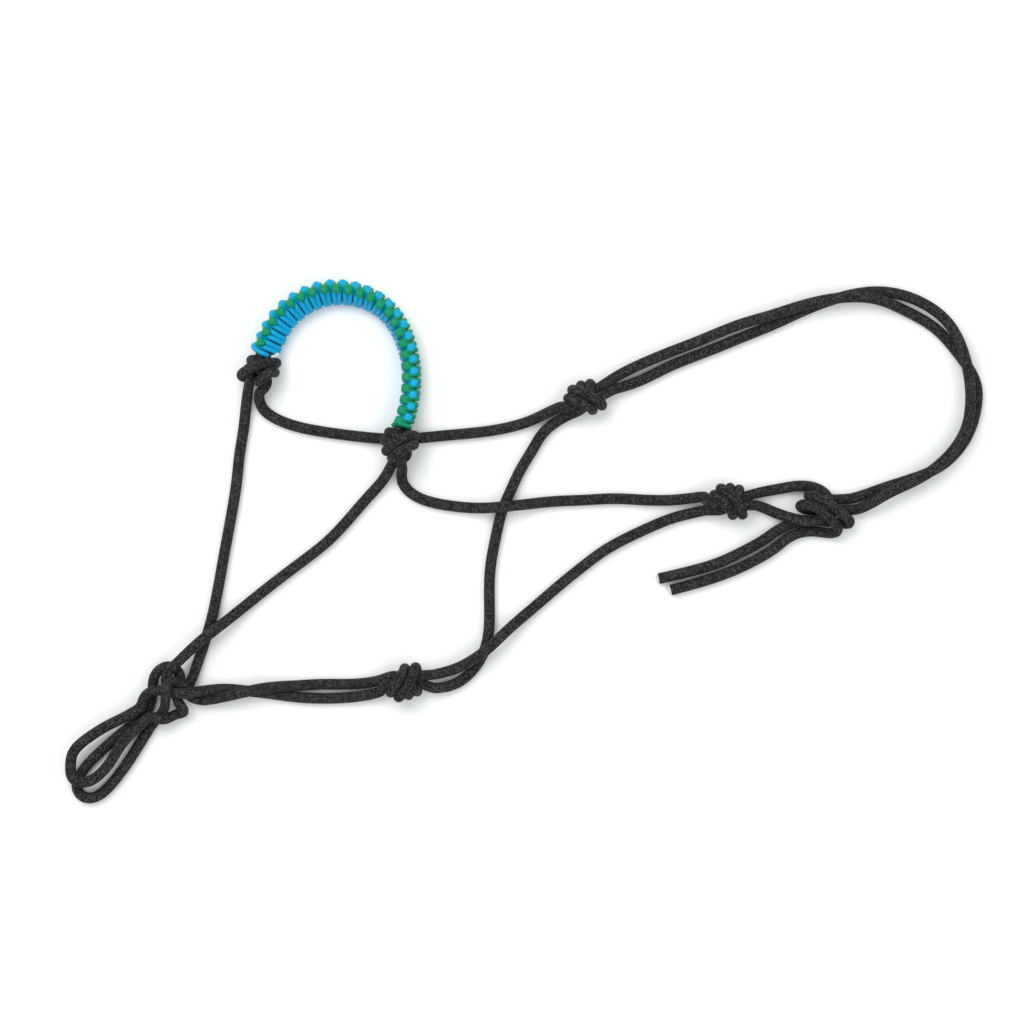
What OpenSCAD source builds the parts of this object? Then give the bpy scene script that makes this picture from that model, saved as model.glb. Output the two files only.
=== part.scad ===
// Rope halter for a horse, laid out flat: one rope tied into runs, knots and loops,
// with a noseband of two rope cores wrapped in two colours of thin cord.
// Millimetres, +Z up, resting on z = 0, origin at the middle of the footprint.

/* [Rope] */
// Diameter of the halter rope
rope_d = 8; // [7:0.25:8]
// Diameter of the white core inside the rope
core_d = 5; // [3:0.25:6]
// Sides of a rope run's tube
rope_sides = 10; // [8:1:12]

/* [Noseband] */
// Width of the wrapped noseband across its two cores
band_w = 23; // [21:0.5:24]
// Thickness of the wrapped noseband
band_t = 14.6; // [13:0.2:16]
// Number of full wraps along the noseband
band_wraps = 24; // [16:1:30]
// How far each wrap stands proud between its neighbours
band_bump = 0.6; // [0:0.1:1]

/* [Knots] */
// Radius of the middle of a knot's wraps
knot_ring_r = 8; // [7:0.25:9]
// Spacing of a knot's wraps
knot_pitch = 7; // [6:0.25:8]

/* [Hidden] */
rope_r = rope_d / 2;
core_r = core_d / 2;
$fn = 32;

// Middle of each knot
nose_left = [-196.5, 128.5, 12.5];
nose_right = [-92, 74, 21];
cheek_left = [47, 108, 12.5];
cheek_right = [155, 31, 12.5];
throat = [-87, -105, 12.5];
fiador = [-268, -112, 13];

// Routes of the rope runs
chin_left_route = [
    [-206, 114.5, 10], [-208, 101, 6], [-210, 84, 4], [-213, 65, 4], [-215, 46, 4],
    [-218, 26, 4], [-222, 4, 4], [-226, -18, 4], [-230, -40, 4], [-235, -62, 4],
    [-241, -81, 4], [-248, -93, 8], [-256.5, -100, 11]
];
chin_right_route = [
    [-98.5, 58.5, 10], [-104, 48, 6], [-116, 34, 4], [-130, 18, 4], [-146, 1, 4],
    [-162, -12, 4], [-178, -24, 4], [-196, -38, 4], [-212, -51, 6], [-227, -63, 11],
    [-241, -75, 12.5], [-254, -86, 13], [-266, -97, 14]
];
cheek_left_route = [
    [-198.5, 110.5, 10], [-196, 100, 6], [-186, 92, 4], [-170, 86, 4], [-150, 82, 4],
    [-128, 79, 4], [-106, 77, 4], [-84, 77, 4], [-62, 79, 4], [-40, 81, 4],
    [-18, 84, 4], [4, 90, 4], [20, 98, 6], [31, 103.5, 10], [37.5, 107, 13]
];
cheek_right_route = [
    [-91, 54.5, 10], [-91, 44, 6], [-83, 35, 4], [-68, 29, 4], [-50, 26, 4],
    [-33, 25, 8], [-15, 26, 13], [4, 28, 7], [24, 30, 4], [46, 31, 4],
    [68, 32, 4], [90, 31, 4], [112, 31, 4], [130, 33, 7], [140, 35, 11], [147, 35.5, 13]
];
throat_left_route = [
    [40.5, 98.5, 10.5], [34, 94, 7], [25, 90, 4], [15, 82, 4], [6, 68, 4], [-3, 53, 4],
    [-10, 38, 4], [-16, 24, 4], [-21, 4, 4], [-25, -18, 4], [-26, -40, 4],
    [-26, -62, 4], [-29, -80, 4], [-38, -96, 4], [-52, -107, 4], [-67, -110, 7], [-79, -109, 10.5]
];
throat_right_route = [
    [147, 26.5, 11], [138, 24, 8], [125, 21, 4], [110, 17, 4], [93, 10, 4], [76, 2, 4],
    [60, -7, 4], [45, -18, 4], [30, -30, 4], [16, -42, 4], [2, -54, 5],
    [-13, -67, 10], [-27, -80, 13], [-41, -90, 12], [-55, -96.5, 9], [-68, -99, 10], [-79, -99.5, 13]
];
jaw_upper_route = [
    [-94, -101, 12.5], [-105, -103.5, 9], [-118, -106, 4], [-134, -107, 4], [-152, -107, 4],
    [-171, -108, 6], [-190, -109, 11], [-207, -112, 12.5], [-224, -115, 12], [-240, -118, 11],
    [-256, -119, 12]
];
jaw_lower_route = [
    [-94, -110, 12], [-105, -112.5, 9], [-118, -115, 6], [-134, -117, 4], [-152, -117.5, 4],
    [-171, -116.5, 4], [-190, -114, 4], [-207, -112, 4], [-224, -109, 4], [-240, -108, 5.5],
    [-253, -108.5, 8]
];
crown_outer_route = [
    [58, 121, 10], [76, 127, 8.5], [104, 139.5, 8.5], [131, 150, 8.5], [161, 162, 9.5],
    [183, 168.5, 10], [207, 176, 12], [237, 182, 12.5], [263, 181, 11], [283.5, 173.5, 6],
    [308, 159.5, 4], [324, 142, 4], [338.5, 118, 4], [338.5, 99, 4], [332, 79, 4],
    [315, 58.5, 4], [294, 48, 4], [268, 39.5, 4], [254, 35.5, 6], [240, 29.5, 10]
];
crown_inner_route = [
    [71, 114.5, 10], [85, 119.5, 5], [109, 131, 4], [134, 141, 4], [165, 153.5, 4],
    [187, 162.5, 4], [210, 173, 4], [238, 183, 4], [264, 187, 4], [288.5, 182.5, 7],
    [314.5, 166, 9.5], [327, 144, 12.5], [333, 117, 12], [333, 99, 12.5], [329, 82, 12.5],
    [314, 61, 12.5], [294, 46.5, 12.5], [272, 36, 12.5], [260, 29, 12.5], [251, 24, 10]
];
tie_loop_route = [
    [163, 36.5, 12], [170, 37, 8], [180, 39, 5], [195, 42, 4], [209, 43, 4.5], [220, 41, 7],
    [227, 34, 9], [229, 26, 9], [226, 18, 9.5], [216, 14, 11.5], [204, 16, 12.5],
    [192, 20, 10], [180, 24, 6], [170, 27.5, 8], [163, 28, 12]
];
lead_upper_route = [
    [-285.5, -123.5, 12.5], [-297, -130.5, 12.5], [-312, -138, 12.5], [-326, -147, 12.5], [-337, -158, 12.5],
    [-338.5, -168, 12.5], [-337, -177, 12.5], [-328, -180, 12.5], [-318, -175, 12.5], [-309, -165, 12.5],
    [-301, -152, 12.5], [-291, -141, 12.5], [-279, -130, 12.5]
];
lead_lower_route = [
    [-286, -130, 4], [-297, -140, 4], [-311, -152, 4], [-323, -163, 4], [-332, -174, 4],
    [-335, -184, 4], [-330, -191.5, 4], [-321, -191.5, 4], [-311, -184, 4], [-302, -173, 4],
    [-293, -160, 4], [-285, -147, 4], [-278, -136, 4]
];
tail_upper_route = [
    [189, 8, 4], [177, -0.5, 4], [162, -8.5, 4], [147, -15.5, 4], [126, -22, 4], [101, -28, 4]
];
tail_lower_route = [
    [196, 1.5, 4], [188, -5, 4], [177, -12, 4], [160, -20.5, 4], [140, -28, 4], [110, -36.5, 4]
];

// Path of the noseband's middle, with its roll from lying flat to standing on edge
band_route = [
    [-193, 142.5, 37], [-189, 151, 38], [-180, 166, 43], [-166, 178, 49], [-149, 185, 55],
    [-131, 185.5, 61], [-114, 180.5, 67], [-100, 170, 74], [-91, 156, 80], [-86, 141, 86],
    [-84, 125, 90], [-85, 108, 90], [-89, 90, 90]
];
band_end_lift = 5;   // the right end climbs to its knot, which lies on the cheek run
core_reach = 10;     // how far a core runs on past the wraps, into its knot
band_rings = 2 * band_wraps;
squeeze = 0.1;       // how far the wraps press into the cores

function unit(v) = v / norm(v);
function along(points, i) =
    unit(points[min(i + 1, len(points) - 1)] - points[max(i - 1, 0)]);
function across(direction) = unit(cross(direction, [0, 0, 1]));
function lifted(direction) = cross(across(direction), direction);

// One ring of a tube: centre, direction and radius
function ring(centre, direction, radius, sides) = [
    for (k = [0 : sides - 1])
        let (a = 360 * k / sides)
        centre + radius * (cos(a) * across(direction) + sin(a) * lifted(direction))
];

// Rings of a tube along a route; a round end adds a cap around the end point
function tube_rings(points, radius, sides, round_start, round_end) =
    let (last = len(points) - 1, first_dir = along(points, 0), last_dir = along(points, last))
    concat(
        round_start ? [for (a = [70, 35])
            ring(points[0] - radius * sin(a) * first_dir, first_dir, radius * cos(a), sides)] : [],
        [for (i = [0 : last]) ring(points[i], along(points, i), radius, sides)],
        round_end ? [for (a = [35, 70])
            ring(points[last] + radius * sin(a) * last_dir, last_dir, radius * cos(a), sides)] : []
    );

// Triangles that close a ring of n points: a fan, or a strip where the ring doubles back
function cap(n, doubled) = doubled
    ? [for (k = [0 : n / 2 - 2]) each [[k, k + 1, n - 2 - k], [k, n - 2 - k, n - 1 - k]]]
    : [for (k = [1 : n - 2]) [0, k, k + 1]];

// Closes a stack of equal rings into one solid
module skin(rings, doubled = false) {
    n = len(rings[0]);
    top = (len(rings) - 1) * n;
    points = [for (r = rings) each r];
    side_faces = [
        for (i = [0 : len(rings) - 2], k = [0 : n - 1])
            let (a = i * n + k, b = i * n + (k + 1) % n)
            each [[a, b, b + n], [a, b + n, a + n]]
    ];
    start_faces = [for (f = cap(n, doubled)) [f[2], f[1], f[0]]];
    end_faces = [for (f = cap(n, doubled)) [f[0] + top, f[1] + top, f[2] + top]];
    polyhedron(points, concat(side_faces, start_faces, end_faces));
}

module rope_run(points, round_start = false, round_end = false, radius = rope_r) {
    skin(tube_rings(points, radius, rope_sides, round_start, round_end));
}

// Turns +X towards a direction
module facing(direction) {
    rotate([0, -asin(unit(direction).z), atan2(direction.y, direction.x)]) children();
}

// A short stretch of rope with round ends, such as a lobe of a knot
module lobe(points, radius = rope_r) {
    rope_run(points, round_start = true, round_end = true, radius = radius);
}

// A knot of two strands: wraps side by side along its direction around a filled middle
module wrapped_knot(centre, direction, wraps = 3) {
    reach = (wraps - 1) / 2;
    translate(centre) facing(direction) {
        for (i = [-reach : reach])
            translate([i * knot_pitch, 0, 0]) rotate([0, 90, 0])
                rotate_extrude() translate([knot_ring_r, 0]) circle(r = rope_r);
        translate([-reach * knot_pitch - rope_r + 1, 0, 0]) rotate([0, 90, 0])
            cylinder(h = 2 * (reach * knot_pitch + rope_r - 1), r = knot_ring_r);
    }
}

module nose_knot_left() {
    color("dimgray") {
        wrapped_knot(nose_left, [7, 26, 0]);
        lobe([[-191, 126, 12], [-187, 121, 10], [-187, 115, 8]]);
    }
}

module nose_knot_right() {
    color("dimgray") {
        wrapped_knot(nose_right, [4, 18, 0], 2);
        lobe([[-88, 70, 18], [-92, 64, 16]]);
        lobe([[-84, 72, 20], [-79, 67, 19]]);
    }
}

module cheek_knot_left() {
    color("dimgray") wrapped_knot(cheek_left, [18, 8, 0]);
}

module cheek_knot_right() {
    color("dimgray") wrapped_knot(cheek_right, [20, 2, 0]);
}

module throat_knot() {
    color("dimgray") wrapped_knot(throat, [20, 3, 0]);
}

module fiador_knot() {
    color("dimgray") {
        translate([fiador.x, fiador.y, 5]) cylinder(h = 13, r = 15);
        lobe([[-281, -108, 10], [-279, -99, 10], [-271, -94, 10], [-262, -94, 10], [-255, -100, 10]]);
        lobe([[-268, -103, 18], [-268, -110, 21], [-268, -118, 21], [-269, -127, 17]]);
        lobe([[-283, -112, 12], [-276, -111, 17], [-268, -111, 18]]);
        lobe([[-262, -115, 18], [-256, -121, 16], [-251, -127, 11]]);
        lobe([[-271, -129, 8], [-264, -131, 8], [-256, -129.5, 8]]);
    }
}

module tie_knot() {
    color("dimgray") {
        lobe([[203, 26, 13], [208, 27, 18], [220, 20, 19], [231, 12, 18], [237, 7, 13]]);
        lobe([[208, 34, 13], [213, 33, 18], [226, 26, 19], [238, 18, 18], [243, 13, 13]]);
        lobe([[238, 7, 8], [230, 10, 4.5], [218, 11, 4], [203, 7.5, 4]]);
        lobe([[243, 13, 8], [233, 19, 5], [218, 20, 4], [204, 17, 4], [197.5, 12.5, 4]]);
    }
}

module tie_loop() {
    color("dimgray") rope_run(tie_loop_route);
}

module chin_strand_left() {
    color("dimgray") rope_run(chin_left_route, round_start = true);
}

module chin_strand_right() {
    color("dimgray") rope_run(chin_right_route, round_start = true);
}

module cheek_strand_left() {
    color("dimgray") rope_run(cheek_left_route, round_start = true);
}

module cheek_strand_right() {
    color("dimgray") rope_run(cheek_right_route, round_start = true);
}

module throat_strand_left() {
    color("dimgray") rope_run(throat_left_route);
}

module throat_strand_right() {
    color("dimgray") rope_run(throat_right_route);
}

module jaw_strand_upper() {
    color("dimgray") rope_run(jaw_upper_route);
}

module jaw_strand_lower() {
    color("dimgray") rope_run(jaw_lower_route);
}

module crown_strand_outer() {
    color("dimgray") rope_run(crown_outer_route, round_start = true, round_end = true);
}

module crown_strand_inner() {
    color("dimgray") rope_run(crown_inner_route, round_start = true, round_end = true);
}

module lead_loop_upper() {
    color("dimgray") rope_run(lead_upper_route, round_start = true, round_end = true);
}

module lead_loop_lower() {
    color("dimgray") rope_run(lead_lower_route, round_start = true, round_end = true);
}

// A tail is the rope's sheath, open at its cut end, where the core shows
module tail(points) {
    last = len(points) - 1;
    overshoot = points[last] + 2 * along(points, last);
    difference() {
        rope_run(points, round_start = true);
        rope_run([for (i = [1 : last + 1]) i > last ? overshoot : points[i]], radius = core_r + 0.2);
    }
}

module tail_core(points) {
    last = len(points) - 1;
    proud_end = points[last] + 1.5 * along(points, last);
    rope_run([for (i = [1 : last + 1]) i > last ? proud_end : points[i]], radius = core_r);
}

module tail_upper() {
    color("dimgray") tail(tail_upper_route);
}

module tail_lower() {
    color("dimgray") tail(tail_lower_route);
}

module tail_upper_core() {
    color("white") tail_core(tail_upper_route);
}

module tail_lower_core() {
    color("white") tail_core(tail_lower_route);
}

// Smooth point on the noseband's path at s, counted in route points
function smooth(points, s) =
    let (
        last = len(points) - 1,
        i = max(0, min(floor(s), last - 1)),
        t = s - i,
        a = points[max(i - 1, 0)],
        b = points[i],
        c = points[i + 1],
        d = points[min(i + 2, last)]
    )
    0.5 * (2 * b + (c - a) * t + (2 * a - 5 * b + 4 * c - d) * t * t + (3 * b - a - 3 * c + d) * t * t * t);

// Corners of a quarter of the band's section, for its half width w and half thickness t
function band_corners(w, t) = [[w, 0.4 * t], [w - 1.5, 0.8 * t], [w - 4.5, t]];

// Half of the band's height once it has rolled
function band_half_height(roll) =
    max([for (q = band_corners(band_w / 2, band_t / 2)) q.x * sin(roll) + q.y * cos(roll)]);

// Middle of the band at s: its height follows its roll, so that its lower edge rests at 0
function band_point(s) =
    let (p = smooth(band_route, s), last = len(band_route) - 1, tip = max(0, s - last + 2) / 2)
    [p.x, p.y, band_half_height(p.z) + band_end_lift * tip * tip];
function band_roll(s) = smooth(band_route, s).z;
function band_along(s) = unit(band_point(s + 0.02) - band_point(s - 0.02));

// Axes of the band's section: across both cores, and out of its inner face
function band_outward(s) = unit(cross([0, 0, 1], [band_along(s).x, band_along(s).y, 0]));
function band_across(s) = cos(band_roll(s)) * band_outward(s) + [0, 0, sin(band_roll(s))];
function band_front(s) = [0, 0, cos(band_roll(s))] - sin(band_roll(s)) * band_outward(s);

function band_ring(s, outline) = [
    for (q = outline) band_point(s) + q.x * band_across(s) + q.y * band_front(s)
];

// Outline of one half of the wraps: round the outside, then back round the two cores
function half_outline(side, bump) =
    let (w = band_w / 2, r = rope_r - squeeze, c = band_corners(w, band_t / 2 - band_bump + bump))
    [
        [w, 0], for (q = c) [q.x, side * q.y], for (i = [2, 1, 0]) [-c[i].x, side * c[i].y], [-w, 0],
        [-2 * r, 0], [-1.85 * r, side * 0.5 * r], [-1.5 * r, side * 0.85 * r], [-r, side * r],
        [r, side * r], [1.5 * r, side * 0.85 * r], [1.85 * r, side * 0.5 * r], [2 * r, 0]
    ];

module band_half(side) {
    last = len(band_route) - 1;
    rings = [
        for (i = [0 : band_rings])
            let (q = half_outline(side, i % 2 * band_bump), n = len(q))
            band_ring(last * i / band_rings, [for (k = [0 : n - 1]) q[side > 0 ? k : n - 1 - k]])
    ];
    skin(rings, doubled = true);
}

module band_core(offset) {
    last = len(band_route) - 1;
    middle = [for (s = [0 : last]) band_point(s) + offset * band_across(s)];
    start = middle[0] - core_reach * along(middle, 0);
    end = middle[last] + core_reach * along(middle, last);
    rope_run(concat([start], middle, [end]));
}

module noseband_core_upper() {
    color("dimgray") band_core(rope_r);
}

module noseband_core_lower() {
    color("dimgray") band_core(-rope_r - 0.05);
}

module noseband_wrap_blue() {
    color("deepskyblue") band_half(1);
}

module noseband_wrap_green() {
    color("seagreen") band_half(-1);
}

// Melted ends of the two thin cords, beside the knots
module wrap_end_left() {
    color("white") lobe([[-184.5, 133, 13], [-185.5, 136, 14], [-186.5, 140, 14]], 1.8);
}

module wrap_end_right() {
    color("seagreen") lobe([[-106, 85.5, 18], [-102, 88, 18], [-97, 91, 18]], 1.8);
}

nose_knot_left();
nose_knot_right();
cheek_knot_left();
cheek_knot_right();
throat_knot();
fiador_knot();
tie_knot();
tie_loop();
chin_strand_left();
chin_strand_right();
cheek_strand_left();
cheek_strand_right();
throat_strand_left();
throat_strand_right();
jaw_strand_upper();
jaw_strand_lower();
noseband_core_upper();
noseband_core_lower();
noseband_wrap_blue();
noseband_wrap_green();
wrap_end_left();
wrap_end_right();
crown_strand_outer();
crown_strand_inner();
lead_loop_upper();
lead_loop_lower();
tail_upper();
tail_upper_core();
tail_lower();
tail_lower_core();
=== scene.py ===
import math

import bpy
import numpy as np
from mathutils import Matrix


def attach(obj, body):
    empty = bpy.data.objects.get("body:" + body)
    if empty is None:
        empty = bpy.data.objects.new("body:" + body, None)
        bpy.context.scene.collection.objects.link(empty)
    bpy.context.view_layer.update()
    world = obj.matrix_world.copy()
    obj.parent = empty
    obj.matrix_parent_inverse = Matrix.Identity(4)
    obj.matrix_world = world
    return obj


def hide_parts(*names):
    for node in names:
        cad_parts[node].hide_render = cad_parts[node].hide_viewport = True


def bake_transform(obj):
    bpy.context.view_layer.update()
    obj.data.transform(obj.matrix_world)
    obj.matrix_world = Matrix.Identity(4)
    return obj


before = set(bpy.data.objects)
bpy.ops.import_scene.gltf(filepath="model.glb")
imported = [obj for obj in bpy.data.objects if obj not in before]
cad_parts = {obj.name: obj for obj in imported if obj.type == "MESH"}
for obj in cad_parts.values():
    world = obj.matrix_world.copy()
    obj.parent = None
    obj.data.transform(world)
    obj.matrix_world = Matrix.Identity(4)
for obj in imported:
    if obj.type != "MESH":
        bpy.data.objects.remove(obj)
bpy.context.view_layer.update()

MM = 0.001
ROPE_R = 4.0            # radius of the halter rope on its free runs
KNOT_R = 3.75           # radius where the rope is squeezed in a knot
CONTACT = 6.8           # how close two stretches of rope lie in a knot
STEP = 2.2              # spacing of the points that the knots are settled with
RING = 0.7              # spacing of the rings of the rope's mesh: half a braid cell
SIDES = 32              # points round the rope: two for each braid cell
BRAID = 0.13            # how far a braid cell stands proud

# ---------------------------------------------------------------- routes, in millimetres
NOSE_L = (-196.5, 128.5, 13.5)
NOSE_R = (-92, 74, 21.5)
CHEEK_L = (47, 108, 14)
CHEEK_R = (155, 31, 14)
THROAT = (-87, -105, 14)
FIADOR = (-268, -112, 13)
TIE = (224, 20, 12)

ROUTES = {
    "chin_strand_left": [
        (-206, 114.5, 10), (-208, 101, 6), (-210, 84, 4), (-213, 65, 4), (-215, 46, 4),
        (-218, 26, 4), (-222, 4, 4), (-226, -18, 4), (-230, -40, 4), (-235, -62, 4),
        (-241, -81, 4), (-246, -96, 5)],
    "chin_strand_right": [
        (-98.5, 58.5, 10), (-104, 48, 6), (-116, 34, 4), (-130, 18, 4), (-146, 1, 4),
        (-162, -12, 4), (-178, -24, 4), (-196, -38, 4), (-212, -51, 6), (-227, -63, 11),
        (-241, -74, 13), (-252, -84, 15)],
    "cheek_strand_left": [
        (-198.5, 110.5, 10), (-196, 100, 6), (-186, 92, 4), (-170, 86, 4), (-150, 82, 4),
        (-128, 79, 4), (-106, 77, 4), (-84, 77, 4), (-62, 79, 4), (-40, 81, 4),
        (-18, 84, 4), (4, 90, 4), (18, 96.5, 6), (29, 101.5, 9)],
    "cheek_strand_right": [
        (-91, 54.5, 10), (-91, 44, 6), (-83, 35, 4), (-68, 29, 4), (-50, 26, 4),
        (-33, 25, 8), (-15, 26, 13), (4, 28, 7), (24, 30, 4), (46, 31, 4),
        (68, 32, 4), (90, 31, 4), (112, 31, 4), (126, 32.5, 6), (136, 34, 9)],
    "throat_strand_left": [
        (32, 94, 6), (25, 90, 4), (15, 82, 4), (6, 68, 4), (-3, 53, 4),
        (-10, 38, 4), (-16, 24, 4), (-21, 4, 4), (-25, -18, 4), (-26, -40, 4),
        (-26, -62, 4), (-29, -80, 4), (-38, -96, 4), (-52, -107, 4), (-67, -110, 7)],
    "throat_strand_right": [
        (136, 23.5, 7), (125, 21, 4), (110, 17, 4), (93, 10, 4), (76, 2, 4),
        (60, -7, 4), (45, -18, 4), (30, -30, 4), (16, -42, 4), (2, -54, 5),
        (-13, -67, 10), (-27, -80, 13), (-41, -90, 12), (-55, -96.5, 9), (-67, -99.5, 10)],
    "jaw_strand_upper": [
        (-107, -103.5, 8), (-118, -106, 4), (-134, -107, 4), (-152, -107, 4),
        (-171, -108, 6), (-190, -109, 11), (-207, -112, 12.5), (-224, -116, 10), (-240, -119, 7)],
    "jaw_strand_lower": [
        (-107, -112.5, 8), (-118, -115, 6), (-134, -117, 4), (-152, -117.5, 4),
        (-171, -116.5, 4), (-190, -114, 4), (-207, -112, 4), (-224, -110.5, 6), (-240, -111.5, 13)],
    "crown_strand_outer": [
        (67, 122, 9), (76, 127, 8.5), (104, 139.5, 8.5), (131, 150, 8.5), (161, 162, 9.5),
        (183, 168.5, 10), (207, 176, 12), (237, 182, 12.5), (263, 181, 11), (283.5, 173.5, 6),
        (308, 159.5, 4), (324, 142, 4), (338.5, 118, 4), (338.5, 99, 4), (332, 79, 4),
        (315, 58.5, 4), (294, 48, 4), (268, 39.5, 4), (254, 34.5, 4), (245, 32, 4)],
    "crown_strand_inner": [
        (68, 114, 8), (85, 119.5, 5), (109, 131, 4), (134, 141, 4), (165, 153.5, 4),
        (187, 162.5, 4), (210, 173, 4), (238, 183, 4), (264, 187, 4), (288.5, 182.5, 7),
        (314.5, 166, 9.5), (327, 144, 12.5), (333, 117, 12), (333, 99, 12.5), (329, 82, 12.5),
        (314, 61, 12.5), (294, 46.5, 12.5), (272, 36, 12.5), (260, 29, 11), (250, 24, 7)],
    "lead_loop_upper": [
        (-285.5, -123.5, 12.5), (-297, -130.5, 12.5), (-312, -138, 12.5), (-326, -147, 12.5),
        (-337, -158, 12.5), (-338.5, -168, 12.5), (-337, -177, 12.5), (-328, -180, 12.5),
        (-318, -175, 12.5), (-309, -165, 12.5), (-301, -152, 12.5), (-291, -141, 12.5),
        (-279, -130, 12.5)],
    "lead_loop_lower": [
        (-286, -130, 4), (-297, -140, 4), (-311, -152, 4), (-323, -163, 4), (-332, -174, 4),
        (-335, -184, 4), (-330, -191.5, 4), (-321, -191.5, 4), (-311, -184, 4), (-302, -173, 4),
        (-293, -160, 4), (-285, -147, 4), (-278, -136, 4)],
    "tail_upper": [
        (189, 8, 4), (177, -0.5, 4), (162, -8.5, 4), (147, -15.5, 4), (126, -22, 4), (101, -28, 4)],
    "tail_lower": [
        (196, 1.5, 4), (188, -5, 4), (177, -12, 4), (160, -20.5, 4), (140, -28, 4), (110, -36.5, 4)],
}
TIE_LOOP = [
    (174, 36, 8), (184, 38, 4), (195, 40, 4), (208, 42.5, 4), (219, 41, 6), (227, 36, 10),
    (230.5, 30, 12.5), (231, 24, 12.5), (227, 18, 12.5), (221, 14.6, 12.5), (211, 14.6, 12.5),
    (200, 17, 11), (189, 21, 7), (181, 24.5, 5), (174, 27, 7)]

# The noseband's middle, with its roll from lying flat to standing on edge
BAND = [
    (-193, 142.5, 37), (-189, 151, 38), (-180, 166, 43), (-166, 178, 49), (-149, 185, 55),
    (-131, 185.5, 61), (-114, 180.5, 67), (-100, 170, 74), (-91, 156, 80), (-86, 141, 86),
    (-84, 125, 90), (-85, 108, 90), (-89, 90, 90)]

# One overhand knot tied in two strands: its middle at 0, its wraps over the top, entering from +x
TWIN_A = [
    (14, 4, -2), (4, 3, -4), (-5, 3, -4), (-10, 6, -1), (-9, 9.5, 5), (-3, 9.5, 9.5), (4, 6, 11),
    (9, -1, 10), (11.5, -8, 5), (11, -12, -2), (8, -8, -8.5), (5, 0, -11), (2, 8, -9.5),
    (0, 13, -4), (-1, 12, 2), (-3, 6, 3.7), (-4.5, -1, 3.7), (-8, -7, 3), (-15, -8, 1)]
TWIN_B = [
    (14, -4, -2), (4, -4.5, -4), (-6, -4.5, -4), (-13, -3, -3), (-16.5, 2, 1), (-15, 5, 7),
    (-9, 5, 11), (-3, 0, 12), (2, -7, 10.5), (4.5, -14, 5), (4, -16, -2), (1, -11, -9.5),
    (-2, -3, -12), (-5, 5, -11), (-7, 12, -6), (-8, 14, 0), (-9.5, 8, 3.7), (-10.5, 1, 3.7),
    (-11, -6, 3), (-16, -1, 6)]

# The fiador knot's four strands, and the two of the sheet bend
FIADOR_STRANDS = {
    ("chin_strand_left", 1, "chin_strand_right", 1): [
        (-250.5, -106, 4.5), (-256, -112, 4), (-264, -114, 4.5), (-268.5, -108, 8),
        (-267.5, -101.5, 13), (-263, -96, 18), (-258.5, -91, 19)],
    ("jaw_strand_lower", 1, "lead_loop_upper", 0): [
        (-250, -112.5, 15), (-259, -112.5, 16), (-266, -111.5, 16), (-273, -110.5, 15),
        (-279, -109.5, 14), (-284, -111.5, 13), (-286, -117, 12.5)],
    ("jaw_strand_upper", 1, "lead_loop_lower", 1): [
        (-248, -118, 7), (-256, -113, 8), (-259, -106, 9), (-261, -100, 12), (-264.5, -99, 18),
        (-266, -103.5, 22), (-266.5, -112, 23.5), (-266.8, -120, 22), (-267.5, -126, 16.5),
        (-269, -129.5, 9), (-272.5, -132.5, 5)],
    ("lead_loop_lower", 0, "lead_loop_upper", 1): [
        (-280, -125, 4), (-277.5, -118, 4.5), (-278, -110, 5), (-278.5, -102, 8), (-275, -96.5, 11),
        (-269.5, -92.5, 12), (-263, -91.5, 12), (-257.5, -95.5, 11), (-255, -103, 8),
        (-256, -110, 6), (-260, -115.5, 7), (-259.5, -120, 13), (-256, -124, 15.5), (-251.5, -128, 13.5),
        (-249.5, -130, 8), (-253, -128.5, 4.2), (-258.5, -126.5, 4), (-263.5, -129, 6.5),
        (-268, -132.5, 13.5), (-273.5, -131.5, 15)],
}
TIE_STRANDS = {
    ("crown_strand_outer", 1, "tail_upper", 0): [
        (236, 31, 4), (222, 32, 4), (212, 33, 5), (206.5, 35.5, 11), (211, 36, 17), (222, 31, 20),
        (234, 23.5, 20), (243, 16, 17), (248, 11.5, 11), (245, 10.5, 5), (238, 14, 4), (228, 15, 4),
        (216, 16, 4), (204, 15, 4), (196, 12, 4)],
    ("crown_strand_inner", 1, "tail_lower", 0): [
        (240, 23, 4), (228, 23, 4), (216, 23.5, 4), (207, 23.5, 5), (200.5, 25, 9.5), (205, 30, 16),
        (216, 28, 20), (226, 20, 20), (233, 12.5, 17), (238, 6.5, 11), (236, 3.5, 5), (228, 6, 4),
        (216, 8, 4), (204, 7, 4)],
}
TWIN_KNOTS = {
    # knot: centre, way out of its entry side, mirrored, ends of strand a, ends of strand b, held clear
    "cheek_knot_left": (CHEEK_L, (18, 8), 1, ("crown_strand_outer", 0), ("throat_strand_left", 0),
                        ("crown_strand_inner", 0), ("cheek_strand_left", 1)),
    "cheek_knot_right": (CHEEK_R, (20, 2), 1, ("tie_loop", 0), ("throat_strand_right", 0),
                         ("tie_loop", 1), ("cheek_strand_right", 1)),
    "throat_knot": (THROAT, (20, 3), -1, ("throat_strand_left", 1), ("jaw_strand_upper", 0),
                    ("throat_strand_right", 1), ("jaw_strand_lower", 0)),
    "nose_knot_left": (NOSE_L, (5, 26), 1, ("noseband_core_upper", 0), ("cheek_strand_left", 0),
                       ("noseband_core_lower", 0), ("chin_strand_left", 0)),
    "nose_knot_right": (NOSE_R, (3, 18), 1, ("noseband_core_upper", 1), ("chin_strand_right", 0),
                        ("noseband_core_lower", 1), ("cheek_strand_right", 0)),
}


# ---------------------------------------------------------------- lines and knots
def unit(v):
    return v / np.linalg.norm(v, axis=-1, keepdims=True)


def lengths(points):
    steps = np.linalg.norm(np.diff(points, axis=0), axis=1)
    return np.concatenate([[0.0], np.cumsum(steps)])


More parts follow.
